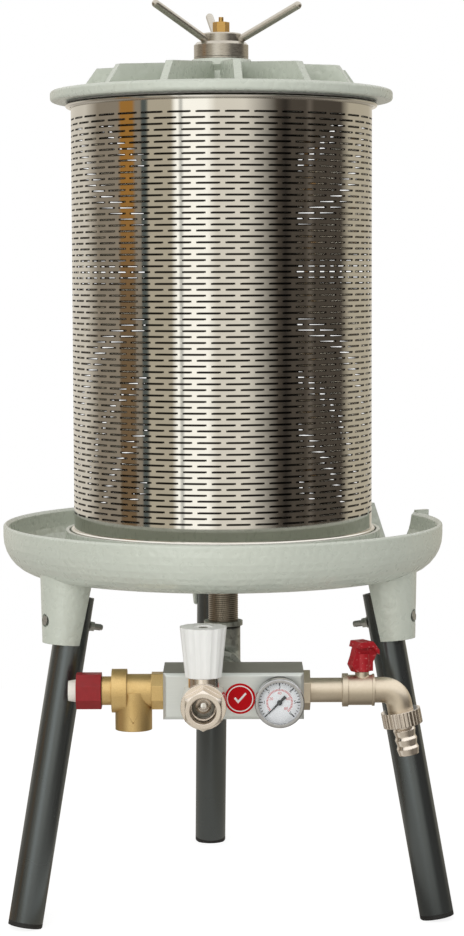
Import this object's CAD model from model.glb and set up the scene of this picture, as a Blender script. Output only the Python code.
import math

import bpy
import numpy as np
from mathutils import Matrix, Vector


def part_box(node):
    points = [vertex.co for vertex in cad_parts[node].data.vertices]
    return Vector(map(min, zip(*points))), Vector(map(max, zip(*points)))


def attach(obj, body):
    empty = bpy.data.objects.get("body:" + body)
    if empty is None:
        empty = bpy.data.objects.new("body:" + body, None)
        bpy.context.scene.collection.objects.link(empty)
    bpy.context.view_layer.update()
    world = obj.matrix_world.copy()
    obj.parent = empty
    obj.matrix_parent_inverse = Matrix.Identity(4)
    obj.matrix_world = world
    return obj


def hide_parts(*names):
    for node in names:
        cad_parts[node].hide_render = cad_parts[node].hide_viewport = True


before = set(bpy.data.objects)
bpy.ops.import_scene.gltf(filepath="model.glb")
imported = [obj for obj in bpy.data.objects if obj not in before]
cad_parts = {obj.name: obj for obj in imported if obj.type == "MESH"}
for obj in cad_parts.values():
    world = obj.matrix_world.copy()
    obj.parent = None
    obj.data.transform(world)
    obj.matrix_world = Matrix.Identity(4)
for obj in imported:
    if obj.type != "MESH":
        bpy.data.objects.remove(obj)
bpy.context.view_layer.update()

# Camera. It stands two metres in front of the press at the height of the basket's middle,
# looks slightly down on it, and takes an upright picture of 464 by 936.
camera_place = (0.0084, -2.204, 0.5705)
camera_drop = math.radians(4.62)
camera_roll = math.radians(-0.2)
picture_h = 936.0
focal_pixels = 2434.5
sensor_mm = 36.0
camera_data = bpy.data.cameras.new("camera")
camera_data.sensor_fit = "AUTO"
camera_data.sensor_width = sensor_mm
camera_data.lens = sensor_mm * focal_pixels / picture_h
camera_data.clip_end = 50.0
camera = bpy.data.objects.new("camera", camera_data)
bpy.context.scene.collection.objects.link(camera)
camera.matrix_world = (
    Matrix.Translation(camera_place)
    @ Matrix.Rotation(math.pi / 2 - camera_drop, 4, "X")
    @ Matrix.Rotation(camera_roll, 4, "Z")
)
bpy.context.scene.camera = camera
bpy.context.scene.view_settings.view_transform = "Standard"

# Floor, room and lamps. The floor is a small pale sheet that keeps the shadow of the feet.
# The room is white to the eye, and polished metal sees its white wall, its dark curtain and its wooden door,
# with a soft copy of them in the floor.


class Wire:
    """One output of a material's nodes. Sums and products of wires and numbers add Math nodes,
    and node() adds any other node from its type, its settings, and the values or links of its sockets."""

    def __init__(self, tree, socket=None):
        self.tree = tree
        self.socket = socket

    def node(self, kind, settings, sockets, out=0):
        made = self.tree.nodes.new(kind)
        for name, value in settings.items():
            if name == "stops":
                ramp = made.color_ramp
                while len(ramp.elements) < len(value):
                    ramp.elements.new(1.0)
                for element, (place, tint) in zip(ramp.elements, value):
                    element.position = place
                    element.color = tint
            else:
                setattr(made, name, value)
        for name, value in sockets.items():
            self.feed(made.inputs[name], value)
        return Wire(self.tree, made.outputs[out])

    def feed(self, socket, value):
        if isinstance(value, Wire):
            self.tree.links.new(value.socket, socket)
        else:
            socket.default_value = value

    def maths(self, operation, first, second):
        return self.node("ShaderNodeMath", {"operation": operation}, {0: first, 1: second})

    def __add__(self, other):
        return self.maths("ADD", self, other)

    def __sub__(self, other):
        return self.maths("SUBTRACT", self, other)

    def __rsub__(self, other):
        return self.maths("SUBTRACT", other, self)

    def __mul__(self, other):
        return self.maths("MULTIPLY", self, other)

    def __truediv__(self, other):
        return self.maths("DIVIDE", self, other)

    def __gt__(self, other):
        return self.maths("GREATER_THAN", self, other)

    __radd__ = __add__
    __rmul__ = __mul__


def tone(red, green, blue):
    """A colour as it shows on a screen, 0 to 255, as the light that it stands for."""
    shown = np.array([red, green, blue]) / 255.0
    light = np.where(shown <= 0.04045, shown / 12.92, ((shown + 0.055) / 1.055) ** 2.4)
    return (float(light[0]), float(light[1]), float(light[2]), 1.0)


def grid_quads(rows, columns, around=True):
    """Quads of a grid of points kept row by row. Around joins the last column to the first."""
    row = np.arange(rows - 1)[:, None]
    column = np.arange(columns if around else columns - 1)[None, :]
    beside = (column + 1) % columns
    corners = [row * columns + column, row * columns + beside]
    corners += [(row + 1) * columns + beside, (row + 1) * columns + column]
    return np.stack(corners, axis=-1).reshape(-1, 4)


def make_mesh(name, points, faces, material, smooth=True):
    """A mesh object at the origin from an array of points in metres and an array of faces."""
    mesh = bpy.data.meshes.new(name)
    mesh.from_pydata(points.reshape(-1, 3).tolist(), [], faces.tolist())
    mesh.polygons.foreach_set("use_smooth", np.full(len(faces), smooth))
    mesh.materials.append(material)
    mesh.update()
    piece = bpy.data.objects.new(name, mesh)
    bpy.context.scene.collection.objects.link(piece)
    return piece


def empty_tree(owner):
    """A wire into the nodes of a material or world, with the nodes that come with it taken out."""
    owner.use_nodes = True
    owner.node_tree.nodes.clear()
    return Wire(owner.node_tree)


def coordinate(wire, place, axis):
    """One of the three numbers of a place or direction."""
    return wire.node("ShaderNodeSeparateXYZ", {}, {"Vector": place}, axis)


def round_the_room(wire, place):
    """How far round the room a place or direction lies, 0 to 1, with the camera's side at a half."""
    frontward = coordinate(wire, place, "Y") * -1.0
    return wire.maths("ARCTAN2", coordinate(wire, place, "X"), frontward) / (2.0 * math.pi) + 0.5


def ray(wire, kind):
    """1 for a ray of this kind and 0 for any other."""
    return wire.node("ShaderNodeLightPath", {}, {}, f"Is {kind} Ray")


def ramped(wire, value, low, high):
    """A wire's climb from 0 to 1 between two of its values, flat outside them."""
    return wire.node(
        "ShaderNodeMapRange",
        {"interpolation_type": "SMOOTHSTEP"},
        {"Value": value, "From Min": low, "From Max": high},
    )


def between(wire, amount, first, second):
    """A colour part of the way from the first to the second."""
    return wire.node(
        "ShaderNodeMix",
        {"data_type": "RGBA"},
        {0: amount, 6: first, 7: second},
        2,
    )


white = (1.0, 1.0, 1.0, 1.0)
room_strength = 1.35
fill_tone = (1.0, 0.99, 0.97, 1.0)
fill_strength = 0.55
floor_tone = tone(132, 127, 119)
floor_gloss = 0.45
world = bpy.data.worlds.new("studio")
bpy.context.scene.world = world
room = empty_tree(world)
toward = room.node("ShaderNodeTexCoord", {}, {}, "Generated")
upward = coordinate(room, toward, "Z")
downward = upward * -1.0
turn = round_the_room(room, toward)
door_left = 0.268
door_right = 0.310
door_foot_tone = tone(92, 82, 68)
ceiling = tone(250, 248, 244)
plaster = tone(196, 190, 179)
plaster_shade = tone(130, 121, 108)
door_wood = tone(149, 107, 52)
door_frame = tone(78, 84, 82)
cream_wall = tone(168, 160, 143)
white_wall = tone(251, 249, 241)
grey_wall = tone(210, 205, 194)
curtain = tone(70, 64, 57)
curtain_fold = tone(46, 42, 38)
curtain_light = tone(98, 91, 83)
room_walls = [
    (0.00, plaster),
    (0.15, plaster),
    (0.20, plaster_shade),
    (door_left, plaster_shade),
    (0.272, door_wood),
    (0.306, door_wood),
    (door_right, plaster_shade),
    (0.324, plaster_shade),
    (0.327, door_frame),
    (0.339, door_frame),
    (0.343, cream_wall),
    (0.395, cream_wall),
    (0.405, white_wall),
    (0.413, white_wall),
    (0.415, door_frame),
    (0.417, door_frame),
    (0.419, white_wall),
    (0.470, white_wall),
    (0.490, grey_wall),
    (0.548, grey_wall),
    (0.618, curtain),
    (0.636, curtain_fold),
    (0.652, curtain),
    (0.684, curtain),
    (0.695, curtain_light),
    (0.706, curtain),
    (0.785, curtain),
    (0.815, cream_wall),
    (0.92, cream_wall),
    (1.00, plaster),
]
walls = room.node("ShaderNodeValToRGB", {"stops": room_walls}, {"Fac": turn})
door_foot = (turn > door_left) * (1.0 - (turn > door_right)) * ramped(room, downward, -0.04, 0.02)
walls = between(room, 0.8 * door_foot, walls, door_foot_tone)
walls = between(room, ramped(room, upward, 0.16, 0.45), walls, ceiling)
walls = between(room, (1.0 - floor_gloss) * ramped(room, downward, 0.13, 0.30), walls, floor_tone)
lamp_level = room.node("ShaderNodeBackground", {}, {"Color": fill_tone, "Strength": fill_strength})
wall_level = room.node("ShaderNodeBackground", {}, {"Color": walls, "Strength": room_strength})
white_level = room.node("ShaderNodeBackground", {}, {"Color": white, "Strength": 1.0})
room_unseen = room.node("ShaderNodeMixShader", {}, {0: ray(room, "Glossy"), 1: lamp_level, 2: wall_level})
in_view = room.maths("MAXIMUM", ray(room, "Camera"), ray(room, "Transmission"))
room_mixed = room.node("ShaderNodeMixShader", {}, {0: in_view, 1: room_unseen, 2: white_level})
world_out = world.node_tree.nodes.new("ShaderNodeOutputWorld")
room.feed(world_out.inputs["Surface"], room_mixed)

floor_half = 1.1
floor_shade_tone = (0.3, 0.3, 0.3, 1.0)
floor_glow_strength = 0.86
floor_material = bpy.data.materials.new("floor")
sheet = empty_tree(floor_material)
floor_paper = sheet.node("ShaderNodeBsdfDiffuse", {}, {"Color": tone(246, 246, 246)})
floor_place = sheet.node("ShaderNodeTexCoord", {}, {}, "Object")
floor_turn = round_the_room(sheet, floor_place)
floor_walls = sheet.node("ShaderNodeValToRGB", {"stops": room_walls}, {"Fac": floor_turn})
floor_color = between(sheet, floor_gloss, floor_tone, floor_walls)
floor_shine = sheet.node("ShaderNodeEmission", {}, {"Color": floor_color, "Strength": room_strength})
floor_shade = sheet.node("ShaderNodeBsdfDiffuse", {}, {"Color": floor_shade_tone})
floor_glow = sheet.node("ShaderNodeEmission", {}, {"Color": white, "Strength": floor_glow_strength})
floor_seen = sheet.node("ShaderNodeAddShader", {}, {0: floor_shade, 1: floor_glow})
in_metal, by_eye = ray(sheet, "Glossy"), ray(sheet, "Camera")
floor_unseen = sheet.node("ShaderNodeMixShader", {}, {0: in_metal, 1: floor_paper, 2: floor_shine})
floor_mixed = sheet.node("ShaderNodeMixShader", {}, {0: by_eye, 1: floor_unseen, 2: floor_seen})
floor_out = floor_material.node_tree.nodes.new("ShaderNodeOutputMaterial")
sheet.feed(floor_out.inputs["Surface"], floor_mixed)
corner = np.array([-floor_half, floor_half])
floor_points = np.stack(np.meshgrid(corner, corner, indexing="xy"), axis=-1).reshape(-1, 2)
floor_points = np.concatenate([floor_points, np.zeros((4, 1))], axis=1)
floor = make_mesh("floor", floor_points, np.array([[0, 1, 3, 2]]), floor_material, smooth=False)

press_middle = np.array([0.0, 0.0, 0.45])


def soft_lamp(name, place, width, height, watts):
    """A rectangular softbox that faces the middle of the press and doesn't show in its metal."""
    data = bpy.data.lights.new(name, "AREA")
    data.shape = "RECTANGLE"
    data.size = width
    data.size_y = height
    data.energy = watts
    lamp = bpy.data.objects.new(name, data)
    lamp.location = place
    away = np.array(place) - press_middle
    lamp.rotation_euler = (
        math.atan2(float(np.hypot(away[0], away[1])), float(away[2])),
        0.0,
        math.atan2(float(away[0]), float(-away[1])),
    )
    lamp.visible_glossy = False
    bpy.context.scene.collection.objects.link(lamp)


soft_lamp("front_softbox", (-0.9, -2.6, 1.3), width=2.2, height=2.2, watts=36.0)
soft_lamp("right_softbox", (1.8, -1.6, 1.6), width=1.2, height=1.8, watts=4.0)

# Legs and their foot plugs. Three drawn steel tubes, powder coated in satin anthracite,
# pushed into the tray's bosses and closed at the foot with black moulded plugs.


def new_finish(name):
    """A material with an empty wire into its nodes and its one shader."""
    material = bpy.data.materials.new(name)
    material.use_nodes = True
    return material, Wire(material.node_tree), material.node_tree.nodes["Principled BSDF"]


def set_shader(wire, shader, **values):
    """Values or wires on the shader's sockets, whose names are written with low dashes for spaces."""
    for name, value in values.items():
        wire.feed(shader.inputs[name.replace("_", " ")], value)


def object_place(wire):
    """Places in the object's own metres."""
    return wire.node("ShaderNodeTexCoord", {}, {}, "Object")


def stretched(wire, scale):
    """Object coordinates stretched by three factors, for grain that runs one way."""
    return wire.node("ShaderNodeMapping", {}, {"Vector": object_place(wire), "Scale": scale})


def cloud(wire, place, scale, detail=2.0, rough=0.5):
    """Soft random patches, 0 to 1, of about 1 / scale metres."""
    return wire.node(
        "ShaderNodeTexNoise",
        {},
        {"Vector": place, "Scale": scale, "Detail": detail, "Roughness": rough},
        "Fac",
    )


def rise(wire, height, strength, distance, edge=0.0):
    """A bump from a height, on edges softened over a radius where one is given."""
    sockets = {"Height": height, "Strength": strength, "Distance": distance}
    if edge:
        sockets["Normal"] = wire.node("ShaderNodeBevel", {"samples": 4}, {"Radius": edge}, "Normal")
    return wire.node("ShaderNodeBump", {}, sockets, "Normal")


def mottled_finish(
    name, dark, light, grain, detail, rough, rough_span,
    bump=0.0, depth=0.0003, edge=0.0, stretch=None, metal=0.0,
):
    """A material of one pattern: soft patches of about 1 / grain metres go from the dark to the light tone,
    add up to rough_span to the roughness, and where bump is given raise the skin by up to depth."""
    material, wire, shader = new_finish(name)
    place = stretched(wire, stretch) if stretch else object_place(wire)
    patches = cloud(wire, place, scale=grain, detail=detail)
    set_shader(
        wire,
        shader,
        Base_Color=between(wire, patches, dark, light),
        Roughness=rough + rough_span * patches,
        Metallic=metal,
    )
    if bump:
        set_shader(wire, shader, Normal=rise(wire, patches, bump, depth, edge))
    return material


def dress(material, *names):
    """Puts a finish on solids of the frame."""
    for name in names:
        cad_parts[name].material_slots[0].material = material


leg_paint, wire, shader = new_finish("leg_paint")
place = object_place(wire)
patches = cloud(wire, place, scale=9.0, detail=3.0)
peel = cloud(wire, place, scale=700.0, detail=2.0)
set_shader(
    wire,
    shader,
    Base_Color=between(wire, patches, tone(22, 23, 23), tone(34, 35, 35)),
    Roughness=0.2 + 0.14 * patches,
    Normal=rise(wire, peel, strength=0.12, distance=0.0004, edge=0.0006),
)
set_shader(wire, shader, IOR=2.2, Specular_Tint=(0.84, 0.95, 1.0, 1.0))
dress(leg_paint, "leg_left", "leg_right", "leg_rear")

plug_black = mottled_finish(
    "plug_black", tone(20, 20, 20), tone(38, 38, 37), grain=160.0, detail=4.0, stretch=(1.0, 1.0, 8.0),
    rough=0.5, rough_span=0.2, bump=0.1, depth=0.0004, edge=0.0005,
)
dress(plug_black, "leg_plugs")

# Tray. A light alloy casting with its gutter, spout, seat and three leg bosses in one piece,
# coated in pale grey green enamel whose skin has a fine orange peel.
enamel, wire, shader = new_finish("enamel")
place = object_place(wire)
peel = cloud(wire, place, scale=190.0, detail=0.0)
drift = cloud(wire, place, scale=7.0, detail=3.0)
enamel_tone = between(wire, drift, tone(193, 199, 187), tone(204, 210, 198))
set_shader(
    wire,
    shader,
    Base_Color=enamel_tone,
    Roughness=0.22 + 0.16 * peel,
    Normal=rise(wire, peel, strength=0.45, distance=0.0012, edge=0.0012),
)
set_shader(wire, shader, IOR=1.8)
dress(enamel, "tray")

# Leg bolts with their washers and nuts. Zinc plated steel, one through each boss and leg,
# with the head sunk in the boss and the nut drawn up on the inside of the leg.
bolt_zinc = mottled_finish(
    "bolt_zinc", tone(140, 142, 141), tone(206, 207, 204), grain=420.0, detail=4.0,
    rough=0.26, rough_span=0.2, bump=0.12, edge=0.0003, metal=1.0,
)
dress(bolt_zinc, "leg_bolts", "leg_washers", "leg_nuts")


def thread_ridge(name, axis_place, axis_turn, radius, height, pitch, start, end, material, body):
    """A screw thread: a ridge of three points, foot, crest and foot, carried along a helix of this pitch.
    The helix climbs its own Z axis, which axis_turn and axis_place then set in the object."""
    steps_per_turn = 40
    turns = (end - start) / pitch
    steps = max(int(turns * steps_per_turn), 8)
    along = np.linspace(0.0, turns, steps)[:, None]
    foot_half = 0.42 * pitch
    foot_r = radius - 0.25 * height
    rim = np.array([foot_r, radius + height, foot_r])[None, :]
    lift = np.array([-foot_half, 0.0, foot_half])[None, :]
    fade = np.clip(np.minimum(along, turns - along) * 2.0, 0.0, 1.0)
    reach = foot_r + (rim - foot_r) * fade
    angle = 2.0 * math.pi * along
    points = np.stack([reach * np.cos(angle), reach * np.sin(angle), start + along * pitch + lift], axis=-1)
    points = points.reshape(-1, 3) @ np.array(axis_turn).T + np.array(axis_place)
    faces = grid_quads(steps, 3, around=False)[:, ::-1]
    ridge = make_mesh(name, points, faces, material)
    crest = ridge.data.attributes.new("crest", "FLOAT", "POINT")
    crest.data.foreach_set("value", np.tile([0.0, 1.0, 0.0], steps))
    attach(ridge, body)


def thread_finish(name, groove_tone, crest_tone):
    """Cut metal that is bright along the crest of its thread and dull with old grease in the groove."""
    material, wire, shader = new_finish(name)
    grease = cloud(wire, object_place(wire), scale=90.0, detail=4.0)
    crest = wire.node("ShaderNodeAttribute", {"attribute_name": "crest"}, {}, "Fac")
    set_shader(
        wire,
        shader,
        Base_Color=between(wire, ramped(wire, crest - 0.3 * grease, 0.1, 0.7), groove_tone, crest_tone),
        Roughness=0.26 + 0.2 * grease,
    )
    set_shader(wire, shader, Metallic=0.9)
    return material


bolt_pitch = 0.00125
bolt_ridge = 0.0004
bolt_side = 0.02
end_face = 0.0002
thread_off_nut, thread_off_end = 0.0004, 0.0006
bolt_thread = thread_finish("bolt_thread", tone(52, 52, 50), tone(208, 209, 206))


def node_points(name):
    """A solid's points as an array of metres."""
    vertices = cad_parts[name].data.vertices
    points = np.zeros(len(vertices) * 3)
    vertices.foreach_get("co", points)
    return points.reshape(-1, 3)


def bolt_tail_thread(leg):
    """The thread on the end of a leg's bolt, which is the one bolt on the leg's side of the press.
    The bolt's axis is the longest direction of its own points, turned to run inwards,
    and the thread goes from the nut's face to the bolt's end."""
    leg_low, leg_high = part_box(leg)
    outward = np.array([leg_low[0] + leg_high[0], leg_low[1] + leg_high[1], 0.0])
    outward /= np.linalg.norm(outward)
    bolts, nuts = node_points("leg_bolts"), node_points("leg_nuts")
    bolt, nut = bolts[bolts @ outward > bolt_side], nuts[nuts @ outward > bolt_side]
    middle = 0.5 * (bolt.min(axis=0) + bolt.max(axis=0))
    axis = np.linalg.svd(bolt - bolt.mean(axis=0), full_matrices=False)[2][0]
    axis = axis * -np.sign(axis @ outward)
    along = (bolt - middle) @ axis
    end = bolt[along > along.max() - end_face]
    center = end.mean(axis=0)
    shank_r = float(np.linalg.norm(end - center, axis=1).max())
    nut_face = float(((nut - center) @ axis).max())
    side = np.cross(axis, [0.0, 0.0, 1.0])
    side /= np.linalg.norm(side)
    turned = np.stack([side, np.cross(axis, side), axis], axis=1)
    thread_ridge(
        leg + "_bolt_thread", center, turned, shank_r, bolt_ridge, bolt_pitch,
        nut_face + thread_off_nut, -thread_off_end, bolt_thread, "stand",
    )


for leg in ("leg_left", "leg_right", "leg_rear"):
    bolt_tail_thread(leg)

# Centre tube with its collar and lock nut. Galvanised pipe, threaded along its lower end,
# that carries the bladder and the lid's nut and is locked in the floor of the tray.
pipe_zinc, wire, shader = new_finish("pipe_zinc")
place = object_place(wire)
spangle = wire.node("ShaderNodeTexVoronoi", {"feature": "F1"}, {"Vector": place, "Scale": 160.0}, "Distance")
grime = cloud(wire, stretched(wire, (1.0, 1.0, 0.35)), scale=60.0, detail=4.0)
set_shader(
    wire,
    shader,
    Base_Color=between(wire, grime, tone(92, 82, 72), tone(150, 142, 130)),
    Roughness=0.34 + 0.16 * spangle + 0.1 * grime,
    Normal=rise(wire, grime, strength=0.1, distance=0.0004, edge=0.0004),
)
set_shader(wire, shader, Metallic=0.9)
dress(pipe_zinc, "center_tube", "tube_collar", "tube_lock_nut")

upright = np.eye(3)
tube_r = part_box("center_tube")[1][0]
tube_ridge = 0.00045
thread_off_elbow, thread_off_lock_nut = 0.0007, 0.0005
tube_thread_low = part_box("pipe_elbow")[1][2] + thread_off_elbow
tube_thread_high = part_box("tube_lock_nut")[0][2] - thread_off_lock_nut
pipe_pitch = 0.001814
pipe_thread = thread_finish("pipe_thread", tone(34, 29, 25), tone(196, 184, 168))
thread_ridge(
    "tube_thread", (0.0, 0.0, 0.0), upright, tube_r, tube_ridge, pipe_pitch,
    tube_thread_low, tube_thread_high, pipe_thread, "stand",
)

# Seals. Black rubber rings under the tube's collar, under the basket, in the hose union and on the relief
# valve's seat, cut or moulded with a fine matt skin, and a pale ring of food rubber under the lid.
seal_rubber, wire, shader = new_finish("seal_rubber")
place = object_place(wire)
bloom = cloud(wire, place, scale=90.0, detail=4.0)
set_shader(
    wire,
    shader,
    Base_Color=between(wire, bloom, tone(24, 24, 24), tone(42, 41, 39)),
    Roughness=0.55 + 0.25 * bloom,
    Normal=rise(wire, cloud(wire, place, scale=1200.0), strength=0.1, distance=0.0003),
)
dress(seal_rubber, "tube_seal", "seat_gasket", "hose_washer", "relief_disc")

lid_rubber = mottled_finish(
    "lid_rubber", tone(206, 203, 194), tone(224, 221, 213), grain=120.0, detail=4.0,
    rough=0.45, rough_span=0.2, bump=0.08,
)
dress(lid_rubber, "lid_gasket")

# Bladder and its two clamps. A thick black rubber sleeve with a neck at each end,
# held on the tube by steel bands. Empty of water it hangs in shallow upright creases.
bladder_low, bladder_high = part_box("bladder")
bladder_r = bladder_high[0]
bladder_foot, bladder_head = bladder_low[2], bladder_high[2]
bladder_neck_r = 0.01625
bladder_tube_r = 0.01325
bladder_wall = 0.003
bladder_shoulder = 0.018
bladder_neck_h = 0.010
bladder_columns = 144
crease_count = 9
crease_depth = 0.006
crease_inner_r, crease_outer_r = 0.030, 0.067
ripple_depth = 0.0012


def bladder_surface():
    """A closed profile turned about the tube: up the outside from the lower neck over two rounded shoulders,
    and down the inside one wall further in. Away from the necks the radius dips in upright creases
    that wander with height and die out towards the shoulders."""
    quarter = np.linspace(0.0, math.pi / 2, 10)
    low = bladder_foot + bladder_neck_h + bladder_shoulder
    high = bladder_head - bladder_neck_h - bladder_shoulder
    middle = np.linspace(low, high, 60)[1:-1]
    flat_r = bladder_r - bladder_shoulder

    def half(inset, neck):
        bend = bladder_shoulder - inset
        radius = np.concatenate([
            [neck, neck],
            flat_r + bend * np.sin(quarter),
            np.full(len(middle), flat_r + bend),
            flat_r + bend * np.cos(quarter),
            [neck, neck],
        ])
        height = np.concatenate([
            [bladder_foot, low - bend],
            low - bend * np.cos(quarter),
            middle,
            high + bend * np.sin(quarter),
            [high + bend, bladder_head],
        ])
        return radius, height

    outer_r, outer_z = half(0.0, bladder_neck_r)
    inner_r, inner_z = half(bladder_wall, bladder_tube_r)
    radius = np.concatenate([outer_r, inner_r[::-1], outer_r[:1]])[:, None]
    height = np.concatenate([outer_z, inner_z[::-1], outer_z[:1]])[:, None]
    angle = np.linspace(0.0, 2.0 * math.pi, bladder_columns, endpoint=False)[None, :]
    share = np.clip((height - low) / (high - low), 0.0, 1.0)
    outness = np.clip((radius - crease_inner_r) / (crease_outer_r - crease_inner_r), 0.0, 1.0)
    swell = outness * (0.35 + 0.65 * np.sin(math.pi * share))
    wander = 0.5 * np.sin(5.0 * share + 1.0) + 0.25 * np.sin(13.0 * share)
    fold = np.abs(np.sin(0.5 * crease_count * angle + wander + 0.4 * np.sin(angle)))
    ripple = 1.0 - np.cos(3.0 * angle + 4.0 * share)
    dip = crease_depth * (1.0 - fold) ** 2 + ripple_depth * ripple
    reach = radius - swell * dip
    points = np.stack([reach * np.cos(angle), reach * np.sin(angle), height + 0.0 * angle], axis=-1)
    return points, grid_quads(len(radius), bladder_columns)


bladder_rubber, wire, shader = new_finish("bladder_rubber")
place = object_place(wire)
chalk = cloud(wire, stretched(wire, (1.0, 1.0, 0.3)), scale=30.0, detail=5.0)
set_shader(
    wire,
    shader,
    Base_Color=between(wire, chalk, tone(18, 18, 18), tone(36, 35, 34)),
    Roughness=0.45 + 0.3 * chalk,
    Normal=rise(wire, cloud(wire, place, scale=900.0), strength=0.12, distance=0.0003),
)
bladder_points, bladder_faces = bladder_surface()
bladder = make_mesh("bladder_sleeve", bladder_points, bladder_faces, bladder_rubber)
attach(bladder, "stand")
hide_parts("bladder")

bar_steel = mottled_finish(
    "bar_steel", tone(160, 155, 146), tone(206, 201, 192), grain=220.0, detail=3.0, stretch=(1.0, 1.0, 12.0),
    rough=0.2, rough_span=0.2, bump=0.06, edge=0.0005, metal=1.0,
)
dress(bar_steel, "bladder_clamps")

# Vent at the top of the tube. A turned brass plug screwed into the tube,
# and in it a hexagon screw with a pin that lets the air out.
vent_brass = mottled_finish(
    "vent_brass", tone(178, 138, 74), tone(224, 186, 118), grain=200.0, detail=3.0, stretch=(1.0, 1.0, 20.0),
    rough=0.22, rough_span=0.18, bump=0.1, edge=0.0006, metal=1.0,
)
dress(vent_brass, "vent_plug", "vent_screw")

# Elbow and nipple. A beaded elbow of malleable iron and a short pipe, both hot dip galvanised,
# that lead from the block up into the centre tube.
elbow_zinc, wire, shader = new_finish("elbow_zinc")
place = object_place(wire)
spangle = wire.node("ShaderNodeTexVoronoi", {"feature": "F1"}, {"Vector": place, "Scale": 240.0}, "Color")
spangle_level = wire.node("ShaderNodeSeparateColor", {}, {"Color": spangle}, "Red")
casting = cloud(wire, place, scale=500.0, detail=3.0)
elbow_bead_w = 0.004
elbow_low, elbow_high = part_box("pipe_elbow")
below_top = elbow_high[2] - coordinate(wire, place, "Z")
behind_mouth = coordinate(wire, place, "Y") - elbow_low[1]


def bead_grime(distance):
    """Grime in the corner behind a bead, from the distance to the elbow's end.
    It starts where the bead ends and thins out over three millimetres."""
    thinned = ramped(wire, distance, elbow_bead_w + 0.0010, elbow_bead_w + 0.0034)
    return (distance > elbow_bead_w) * (1.0 - thinned)


zinc_tone = between(wire, spangle_level, tone(146, 149, 143), tone(184, 187, 181))
grime = wire.maths("MAXIMUM", bead_grime(below_top), bead_grime(behind_mouth))
set_shader(
    wire,
    shader,
    Base_Color=between(wire, 0.95 * grime, zinc_tone, tone(30, 30, 28)),
    Roughness=0.38 + 0.2 * casting,
    Normal=rise(wire, casting, strength=0.25, distance=0.0006, edge=0.0008),
)
set_shader(wire, shader, Metallic=0.85)
dress(elbow_zinc, "pipe_elbow", "pipe_nipple")

# Manifold block. A bevelled bar of aluminium, bored through and tapped on every side but two,
# with a light drawn grain along its length and a duller sawn face on top.
block_metal, wire, shader = new_finish("block_metal")
place = object_place(wire)
grain = cloud(wire, stretched(wire, (0.06, 1.0, 1.0)), scale=900.0, detail=3.0)
drift = cloud(wire, place, scale=25.0, detail=3.0)
bar_tone = between(wire, 0.5 * grain + 0.4 * drift, tone(212, 217, 215), tone(232, 236, 234))
block_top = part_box("manifold_block")[1][2]
sawn = ramped(wire, coordinate(wire, place, "Z"), block_top - 0.0006, block_top - 0.0002)
set_shader(
    wire,
    shader,
    Base_Color=between(wire, sawn, bar_tone, tone(152, 152, 146)),
    Roughness=0.36 + 0.16 * grain,
    Normal=rise(wire, grain, strength=0.05, distance=0.0002, edge=0.0018),
)
set_shader(wire, shader, Metallic=0.75)
dress(block_metal, "manifold_block")

# Inspection label. A round red vinyl sticker on the block's face,
# printed with a plain white ring and tick.
label_red, wire, shader = new_finish("label_red")
place = object_place(wire)
print_grain = cloud(wire, place, scale=2200.0, detail=2.0)
set_shader(
    wire,
    shader,
    Base_Color=between(wire, print_grain, tone(186, 2, 14), tone(204, 8, 22)),
    Roughness=0.28 + 0.1 * print_grain,
)
set_shader(wire, shader, Specular_IOR_Level=0.12)
dress(label_red, "inspection_label")

label_white = mottled_finish(
    "label_white", tone(238, 232, 230), tone(250, 248, 246), grain=2600.0, detail=2.0,
    rough=0.3, rough_span=0.1,
)
label_low, label_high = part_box("inspection_label")
label_x = 0.5 * (label_low[0] + label_high[0])
label_z = 0.5 * (label_low[2] + label_high[2])
label_front = label_low[1]
label_r = 0.5 * (label_high[0] - label_low[0])
label_ring_inner_r = label_r - 0.0027
label_ring_outer_r = label_r - 0.0018
print_t = 0.00006


def ring_print(name, x, z, y, inner_r, outer_r, material, body):
    """A flat printed ring, its two edges and both faces a print's thickness apart, facing -Y."""
    columns = 72
    angle = np.linspace(0.0, 2.0 * math.pi, columns, endpoint=False)[None, :]
    radius = np.array([inner_r, outer_r, outer_r, inner_r, inner_r])[:, None]
    depth = np.array([0.0, 0.0, print_t, print_t, 0.0])[:, None]
    points = np.stack([
        x + radius * np.cos(angle),
        y - depth + 0.0 * angle,
        z + radius * np.sin(angle),
    ], axis=-1)
    printed = make_mesh(name, points, grid_quads(len(radius), columns)[:, ::-1], material, smooth=False)
    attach(printed, body)


def stroke_print(name, corners, y, material, body):
    """A flat printed shape from its outline in X and Z, which runs anticlockwise as seen from the front.
    It stands a print's thickness proud."""
    outline = np.array(corners)
    count = len(outline)
    front = np.stack([outline[:, 0], np.full(count, y - print_t), outline[:, 1]], axis=-1)
    back = np.stack([outline[:, 0], np.full(count, y), outline[:, 1]], axis=-1)
    mesh = bpy.data.meshes.new(name)
    step = np.arange(count)
    sides = np.stack([step, step + count, (step + 1) % count + count, (step + 1) % count], axis=-1)
    faces = [step.tolist(), (step[::-1] + count).tolist()] + sides.tolist()
    mesh.from_pydata(np.concatenate([front, back]).tolist(), [], faces)
    mesh.materials.append(material)
    printed = bpy.data.objects.new(name, mesh)
    bpy.context.scene.collection.objects.link(printed)
    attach(printed, body)


ring_print(
    "label_ring", label_x, label_z, label_front, label_ring_inner_r, label_ring_outer_r,
    label_white, "stand",
)
tick_outline = np.array([
    (-0.0052, 0.0002), (-0.0016, -0.0040), (0.0056, 0.0040),
    (0.0044, 0.0052), (-0.0016, -0.0014), (-0.0040, 0.0014),
]) + np.array([label_x, label_z])
stroke_print("label_tick", tick_outline, label_front, label_white, "stand")

# Relief valve. A sand cast brass body with an octagon to screw it in and an outlet below, a turned bonnet,
# and inside it a disc, stem and spring. A red cap with a white tip turns to lift the disc.


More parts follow.
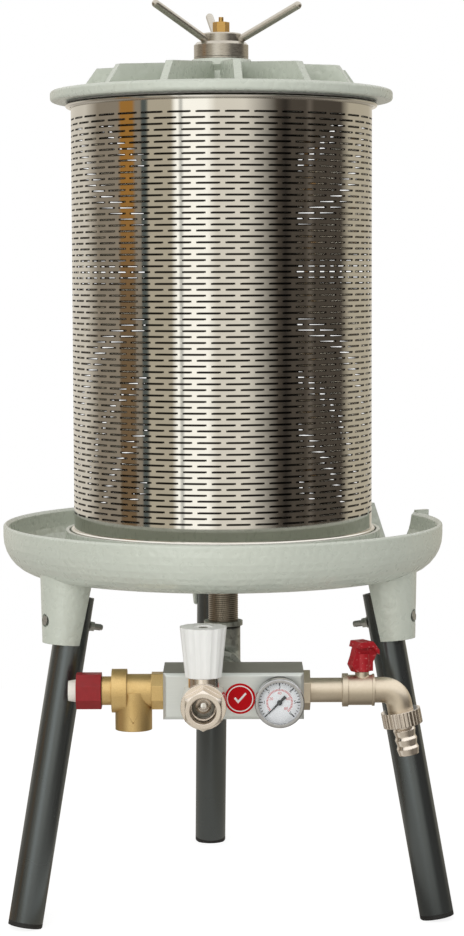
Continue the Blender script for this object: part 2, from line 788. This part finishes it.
def patinated_finish(
    name, dark, light, worn, worn_share, grain, patch, patch_detail,
    rough, rough_span, bump, depth, edge, metal,
):
    """Metal of two patterns: wide patches go from the dark to the light tone, and a fine grain
    brings in up to worn_share of the worn tone, roughens the skin and raises it."""
    material, wire, shader = new_finish(name)
    place = object_place(wire)
    fine = cloud(wire, place, scale=grain, detail=3.0, rough=0.6)
    patch_tone = between(wire, cloud(wire, place, scale=patch, detail=patch_detail), dark, light)
    set_shader(
        wire,
        shader,
        Base_Color=between(wire, worn_share * fine, patch_tone, worn),
        Roughness=rough + rough_span * fine,
        Normal=rise(wire, fine, bump, depth, edge),
        Metallic=metal,
    )
    return material


cast_brass = patinated_finish(
    "cast_brass", tone(220, 187, 124), tone(244, 217, 158), worn=tone(150, 110, 54), worn_share=0.45,
    grain=1100.0, patch=55.0, patch_detail=4.0,
    rough=0.28, rough_span=0.22, bump=0.36, depth=0.0005, edge=0.0011, metal=0.9,
)
dress(cast_brass, "relief_body", "relief_bonnet")
dress(bar_steel, "relief_stem", "relief_spring")

block_low, block_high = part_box("manifold_block")
outlet_r = 0.0158
outlet_reach = 0.026
outlet_x = block_low[0] - outlet_reach
outlet_y = 0.5 * (block_low[1] + block_high[1])
outlet_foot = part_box("relief_body")[0][2]


def flow_arrow_surface():
    """Two raised strokes that meet in a point, laid on the front of the outlet: a ridge of three points,
    foot, crest and foot, whose place across the outlet is an arc length and so an angle."""
    steps = 25
    arrow_half = 0.0034
    arrow_h = 0.0068
    point_at = 0.0072
    half_width = 0.0007
    share = np.linspace(-1.0, 1.0, steps)
    across = arrow_half * share
    height = outlet_foot + point_at + arrow_h * np.abs(share)
    side = np.array([-1.0, 0.0, 1.0])[None, :] * half_width
    proud = np.array([-0.0001, 0.0006, -0.0001])[None, :]
    angle = (across[:, None] + side) / outlet_r
    radius = outlet_r + proud
    points = np.stack([
        outlet_x + radius * np.sin(angle),
        outlet_y - radius * np.cos(angle),
        height[:, None] + 0.0 * angle,
    ], axis=-1)
    return points, grid_quads(steps, 3, around=False)


arrow_points, arrow_faces = flow_arrow_surface()
flow_arrow = make_mesh("flow_arrow", arrow_points, arrow_faces, cast_brass)
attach(flow_arrow, "stand")

cap_red = mottled_finish(
    "cap_red", tone(126, 10, 18), tone(150, 20, 28), grain=240.0, detail=4.0,
    rough=0.34, rough_span=0.16, bump=0.12, depth=0.0004, edge=0.0009,
)
dress(cap_red, "relief_cap")

tip_white = mottled_finish(
    "tip_white", tone(226, 222, 210), tone(240, 238, 230), grain=300.0, detail=4.0,
    rough=0.36, rough_span=0.14, bump=0.08, edge=0.0007,
)
dress(tip_white, "relief_tip", "inlet_seats", "tap_seats")

# Inlet valve. A nickel plated brass ball valve with a hexagon at each end and a bright ball in its bore,
# turned by a fluted white knob on a round metal collar.
nickel = patinated_finish(
    "nickel", tone(224, 214, 204), tone(241, 234, 226), worn=tone(176, 160, 140), worn_share=0.2,
    grain=800.0, patch=40.0, patch_detail=3.0,
    rough=0.1, rough_span=0.1, bump=0.05, depth=0.0003, edge=0.0010, metal=1.0,
)
dress(nickel, "inlet_end", "inlet_body")

inlet_socket_r = 0.011
inlet_groove = -0.0007
inlet_thread_deep, inlet_thread_lip = 0.0155, 0.0012
inlet_ball_low, inlet_ball_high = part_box("inlet_ball")
inlet_middle = [0.5 * (a + b) for a, b in zip(inlet_ball_low, inlet_ball_high)]
inlet_front_at = inlet_middle[1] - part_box("inlet_body")[0][1]
forward = np.array([[1.0, 0.0, 0.0], [0.0, 0.0, -1.0], [0.0, 1.0, 0.0]])
thread_ridge(
    "inlet_thread", inlet_middle, forward, inlet_socket_r, inlet_groove, pipe_pitch,
    inlet_front_at - inlet_thread_deep, inlet_front_at - inlet_thread_lip, nickel, "stand",
)

ball_chrome = mottled_finish(
    "ball_chrome", tone(206, 204, 200), tone(226, 225, 222), grain=120.0, detail=3.0,
    rough=0.05, rough_span=0.06, metal=1.0,
)
dress(ball_chrome, "inlet_ball", "tap_ball")
dress(bar_steel, "inlet_stem", "inlet_knob_screw")

knob_white = mottled_finish(
    "knob_white", tone(232, 233, 229), tone(244, 244, 241), grain=260.0, detail=4.0, stretch=(1.0, 1.0, 0.2),
    rough=0.28, rough_span=0.14, bump=0.06, edge=0.0008,
)
dress(knob_white, "inlet_knob")

# Pressure gauge. A dark pressed case with a bright rolled bezel and a flat glass,
# a Bourdon tube behind a white dial, and a black needle.
# The dial is printed with a black scale outside and a red one inside.
gauge_dark = mottled_finish(
    "gauge_dark", tone(14, 14, 15), tone(26, 27, 28), grain=300.0, detail=3.0,
    rough=0.24, rough_span=0.16, bump=0.06, edge=0.0005,
)
dress(gauge_dark, "gauge_case", "gauge_needle")

bezel_metal = mottled_finish(
    "bezel_metal", tone(168, 170, 174), tone(200, 202, 206), grain=260.0, detail=3.0,
    rough=0.12, rough_span=0.12, bump=0.05, edge=0.0008, metal=1.0,
)
dress(bezel_metal, "gauge_bezel")
dress(vent_brass, "gauge_stem", "bourdon_tube")

dial_white = mottled_finish(
    "dial_white", tone(234, 237, 240), tone(244, 246, 248), grain=1600.0, detail=2.0,
    rough=0.4, rough_span=0.1,
)
dress(dial_white, "gauge_dial")

glass_clear, wire, shader = new_finish("glass_clear")
place = object_place(wire)
dust = cloud(wire, place, scale=900.0, detail=3.0)
set_shader(
    wire,
    shader,
    Base_Color=tone(236, 242, 244),
    Roughness=0.02 + 0.04 * dust,
    Alpha=0.02 + 0.03 * dust,
)
set_shader(wire, shader, IOR=1.5)
dress(glass_clear, "gauge_glass")

dial_black = mottled_finish(
    "dial_black", tone(24, 26, 30), tone(44, 46, 50), grain=2600.0, detail=2.0, rough=0.4, rough_span=0.1,
)
dial_red = mottled_finish(
    "dial_red", tone(196, 40, 38), tone(214, 62, 58), grain=2600.0, detail=2.0, rough=0.4, rough_span=0.1,
)
dial_low, dial_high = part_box("gauge_dial")
dial_x = 0.5 * (dial_low[0] + dial_high[0])
dial_z = 0.5 * (dial_low[2] + dial_high[2])
dial_front = dial_low[1]
dial_start = 225.0
dial_sweep = 270.0


def tick_marks(name, count, inner_r, outer_r, width, material):
    """Printed strokes of a dial as thin boxes over three quarters of a turn, from lower left over the top."""
    angle = np.radians(dial_start - dial_sweep * np.arange(count) / (count - 1))[:, None, None]
    radius = np.array([inner_r, outer_r, outer_r, inner_r])[None, :, None]
    side = np.array([-0.5, -0.5, 0.5, 0.5])[None, :, None] * width
    depth = np.array([0.0, print_t])[None, None, :]
    x = dial_x + radius * np.cos(angle) - side * np.sin(angle) + 0.0 * depth
    z = dial_z + radius * np.sin(angle) + side * np.cos(angle) + 0.0 * depth
    y = dial_front - depth + 0.0 * (radius + angle)
    points = np.stack([x, y, z], axis=-1)
    box = np.array([[0, 2, 4, 6], [7, 5, 3, 1], [0, 1, 3, 2], [2, 3, 5, 4], [4, 5, 7, 6], [6, 7, 1, 0]])
    faces = (np.arange(count)[:, None, None] * 8 + box[None]).reshape(-1, 4)
    marks = make_mesh(name, points, faces[:, ::-1], material, smooth=False)
    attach(marks, "stand")


def dial_numbers(name, words, radius, size, material):
    """The numbers of a scale, spread as its strokes are. Each is set upright and turned into a flat mesh."""
    points, faces, base = [], [], 0
    for index, word in enumerate(words):
        if not word:
            continue
        angle = math.radians(dial_start - dial_sweep * index / (len(words) - 1))
        letter = bpy.data.curves.new(name, "FONT")
        letter.body = word
        letter.size = size
        letter.align_x = "CENTER"
        letter.align_y = "CENTER"
        letter.resolution_u = 3
        holder = bpy.data.objects.new(name, letter)
        bpy.context.scene.collection.objects.link(holder)
        shape = holder.to_mesh()
        flat = np.zeros(len(shape.vertices) * 3)
        shape.vertices.foreach_get("co", flat)
        flat = flat.reshape(-1, 3)
        shape.calc_loop_triangles()
        triangles = np.zeros(len(shape.loop_triangles) * 3, dtype=np.int32)
        shape.loop_triangles.foreach_get("vertices", triangles)
        x = dial_x + radius * math.cos(angle) + flat[:, 0]
        z = dial_z + radius * math.sin(angle) + flat[:, 1]
        points.append(np.stack([x, np.full(len(x), dial_front - print_t), z], axis=-1))
        faces.append(triangles.reshape(-1, 3) + base)
        base += len(flat)
        holder.to_mesh_clear()
        bpy.data.objects.remove(holder)
        bpy.data.curves.remove(letter)
    numbers = make_mesh(name, np.concatenate(points), np.concatenate(faces), material, smooth=False)
    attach(numbers, "stand")


tick_marks("dial_strokes_major", 7, inner_r=0.0140, outer_r=0.0174, width=0.0010, material=dial_black)
tick_marks("dial_strokes_minor", 31, inner_r=0.0156, outer_r=0.0172, width=0.0006, material=dial_black)
tick_marks("dial_strokes_red", 41, inner_r=0.0096, outer_r=0.0112, width=0.0006, material=dial_red)
black_words = ["0", "1", "2", "3", "4", "5", "6"]
red_words = ["", "20", "40", "60", "80"]
dial_numbers("dial_numbers_black", black_words, radius=0.0128, size=0.0040, material=dial_black)
dial_numbers("dial_numbers_red", red_words, radius=0.0076, size=0.0034, material=dial_red)

# Drain tap. A plated brass ball tap on a hexagon bushing and a short tube, with a bent outlet
# and a red wing handle held by a screw.
tap_nickel = patinated_finish(
    "tap_nickel", tone(214, 203, 185), tone(232, 222, 205), worn=tone(172, 150, 122), worn_share=0.25,
    grain=700.0, patch=40.0, patch_detail=3.0,
    rough=0.32, rough_span=0.16, bump=0.06, depth=0.0003, edge=0.0008, metal=1.0,
)
dress(tap_nickel, "tap_bushing", "tap_inlet", "tap_body")
dress(bar_steel, "tap_stem", "tap_handle_screw")

handle_red, wire, shader = new_finish("handle_red")
place = object_place(wire)
mould = cloud(wire, place, scale=260.0, detail=4.0)
chips = ramped(wire, cloud(wire, place, scale=520.0, detail=2.0), 0.62, 0.70)
handle_tone = between(wire, mould, tone(150, 6, 22), tone(178, 16, 32))
set_shader(
    wire,
    shader,
    Base_Color=between(wire, 0.4 * chips, handle_tone, tone(222, 172, 166)),
    Roughness=0.26 + 0.16 * mould,
    Normal=rise(wire, mould, strength=0.12, distance=0.0004, edge=0.0009),
)
dress(handle_red, "tap_handle")

# Hose union. A plated brass tail with three barbs for the hose,
# drawn up to the tap by a grooved nut.
dress(nickel, "hose_tail", "hose_nut")

# Basket. A rolled and welded cylinder of polished stainless sheet, cut with 71 rows of 34 slots,
# each row set half a pitch round from the one below, and rolled over at its foot and at its top.
basket_low, basket_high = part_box("basket_wall")
basket_r = basket_high[0]
basket_t = 0.0015
slot_rows = 71
slots_around = 34
slot_l = 0.0197
slot_h = 0.0010
slot_pitch = 0.005013
first_row_up = 0.0201
first_row_z = basket_low[2] + first_row_up
top_bridge = math.radians(-90.0 + 0.6)


def basket_surface():
    """Outer and inner cylinder of the sheet, both cut into one cell per slot. A cell's edge has four steps
    along its top and bottom, and its slot is a long hole with blunt corners and five points on each side.
    Cells of odd rows start half a pitch further round. Plain bands close the sheet above and below,
    and every slot has walls through the sheet.
    The last array is 1 at the slots' edges and 0 at the cells'."""
    steps = 4
    around = slots_around * steps
    step = 2.0 * math.pi / around
    top_row = slot_rows - 1
    start = top_bridge - (top_row % 2) * 2 * step
    edge_z = first_row_z + slot_pitch * (np.arange(slot_rows + 1) - 0.5)
    edge_z = np.concatenate([[basket_low[2]], edge_z, [basket_high[2]]])
    edge_turn = start + step * np.arange(around)
    edges = np.stack(np.meshgrid(edge_turn, edge_z, indexing="xy"), axis=-1).reshape(-1, 2)

    row, column = np.meshgrid(np.arange(slot_rows), np.arange(slots_around), indexing="ij")
    row, column = row.ravel(), column.ravel()
    first = column * steps + 2 * (row % 2)
    half_l, half_h = 0.5 * slot_l / basket_r, 0.5 * slot_h
    blunt = half_h / basket_r
    along = np.array([-half_l, -half_l + blunt, 0.0, half_l - blunt, half_l])
    away = np.array([0.4, 1.0, 1.0, 1.0, 0.4]) * half_h
    middle_turn = (start + step * (first + 2))[:, None]
    middle_z = (first_row_z + slot_pitch * row)[:, None]
    below = np.stack([middle_turn + along, middle_z - away], axis=-1)
    above = np.stack([middle_turn + along, middle_z + away], axis=-1)
    holes = np.stack([below, above], axis=1).reshape(-1, 2)
    flat = np.concatenate([edges, holes])
    count = len(flat)

    lane = np.arange(steps + 1)
    column_of = (first[:, None] + lane) % around
    low_edge = (row[:, None] + 1) * around + column_of
    high_edge = (row[:, None] + 2) * around + column_of
    hole = len(edges) + np.arange(len(row))[:, None] * 10
    low_hole, high_hole = hole + lane, hole + 5 + lane
    under = np.stack([low_edge[:, :-1], low_edge[:, 1:], low_hole[:, 1:], low_hole[:, :-1]], axis=-1)
    over = np.stack([high_hole[:, :-1], high_hole[:, 1:], high_edge[:, 1:], high_edge[:, :-1]], axis=-1)
    left = np.stack([low_edge[:, 0], low_hole[:, 0], high_hole[:, 0], high_edge[:, 0]], axis=-1)
    right = np.stack([low_hole[:, -1], low_edge[:, -1], high_edge[:, -1], high_hole[:, -1]], axis=-1)
    bands = grid_quads(slot_rows + 3, around).reshape(slot_rows + 2, around, 4)[[0, -1]]
    skin = np.concatenate([part.reshape(-1, 4) for part in (under, over, left, right, bands)])

    loop = np.concatenate([low_hole, high_hole[:, ::-1]], axis=1)
    ahead = np.roll(loop, -1, axis=1)
    walls = np.stack([loop, ahead, ahead + count, loop + count], axis=-1).reshape(-1, 4)
    rim = np.arange(around)
    beside = (rim + 1) % around
    last = (slot_rows + 2) * around
    foot = np.stack([beside, rim, rim + count, beside + count], axis=-1)
    head = np.stack([rim, beside, beside + count, rim + count], axis=-1) + last

    turn_of, height = flat[:, 0], flat[:, 1]
    radial = np.stack([np.cos(turn_of), np.sin(turn_of), np.zeros(count)], axis=-1)
    up = np.array([0.0, 0.0, 1.0])
    points = np.concatenate([
        radial * basket_r + height[:, None] * up,
        radial * (basket_r - basket_t) + height[:, None] * up,
    ])
    faces = np.concatenate([skin, skin[:, ::-1] + count, walls, foot, head])
    corner_a, corner_b, corner_c = points[faces[:, 0]], points[faces[:, 1]], points[faces[:, 2]]
    flat_normal = np.cross(corner_b - corner_a, corner_c - corner_a)
    flat_normal /= np.linalg.norm(flat_normal, axis=1)[:, None]
    normals = np.repeat(flat_normal[:, None, :], 4, axis=1)
    skins = len(skin)
    normals[:skins] = radial[faces[:skins]]
    normals[skins : 2 * skins] = -radial[faces[skins : 2 * skins] - count]
    near_slot = np.tile(np.concatenate([np.zeros(len(edges)), np.ones(len(holes))]), 2)
    return points, faces, normals, near_slot


basket_steel, wire, shader = new_finish("basket_steel")
place = object_place(wire)
rolling = cloud(wire, stretched(wire, (1.0, 1.0, 0.03)), scale=45.0, detail=3.0)
wiping = cloud(wire, place, scale=18.0, detail=4.0)
slot_rim = wire.node("ShaderNodeAttribute", {"attribute_name": "near_slot"}, {}, "Fac")
sheet_tone = between(wire, wiping, tone(214, 212, 206), tone(228, 226, 222))
set_shader(
    wire,
    shader,
    Base_Color=between(wire, 0.9 * ramped(wire, slot_rim, 0.72, 0.84), sheet_tone, tone(40, 36, 32)),
    Roughness=0.03 + 0.05 * wiping,
    Normal=rise(wire, rolling, strength=0.1, distance=0.0004),
)
set_shader(wire, shader, Metallic=1.0)
basket_points, basket_faces, basket_normals, basket_near_slot = basket_surface()
basket = make_mesh("basket_slotted", basket_points, basket_faces, basket_steel)
basket.data.attributes.new("near_slot", "FLOAT", "POINT").data.foreach_set("value", basket_near_slot)
basket.data.normals_split_custom_set(basket_normals.reshape(-1, 3).tolist())
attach(basket, "basket")
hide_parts("basket_wall")
dress(basket_steel, "basket_foot_rim")

roll_r = 0.0022
roll_out = basket_r + 0.0027
roll_z = basket_high[2] - 0.0012


def top_roll_surface():
    """The sheet's rolled top edge, a torus: a circle of radius roll_r carried round the basket's axis."""
    rows, columns = 161, 16
    turn = np.linspace(0.0, 2.0 * math.pi, rows)[:, None]
    bend = np.linspace(0.0, 2.0 * math.pi, columns, endpoint=False)[None, :]
    reach = roll_out + roll_r * np.cos(bend)
    points = np.stack([
        reach * np.cos(turn),
        reach * np.sin(turn),
        roll_z + roll_r * np.sin(bend) + 0.0 * turn,
    ], axis=-1)
    return points, grid_quads(rows, columns)[:, ::-1]


roll_steel, wire, shader = new_finish("roll_steel")
place = object_place(wire)
wiping = cloud(wire, place, scale=30.0, detail=4.0)
seam = ramped(wire, coordinate(wire, place, "Z"), roll_z + 0.0005, roll_z + 0.0009)
roll_tone = between(wire, wiping, tone(204, 201, 196), tone(222, 220, 216))
set_shader(
    wire,
    shader,
    Base_Color=between(wire, seam, roll_tone, tone(66, 60, 57)),
    Roughness=0.06 + 0.06 * wiping + 0.4 * seam,
)
set_shader(wire, shader, Metallic=1.0)
roll_points, roll_faces = top_roll_surface()
top_roll = make_mesh("basket_top_roll", roll_points, roll_faces, roll_steel)
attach(top_roll, "basket")

# Lid. A cast disc with twelve ribs up to its hub and a spigot that centres it in the basket,
# enamelled as the tray is.
dress(enamel, "lid")

# Clamp nut, its slip washer and three bars. Turned stainless steel, with round bars driven into the nut
# as handles, that runs down the centre tube's thread onto the lid.
dress(bar_steel, "nut_washer", "clamp_nut", "clamp_bars")
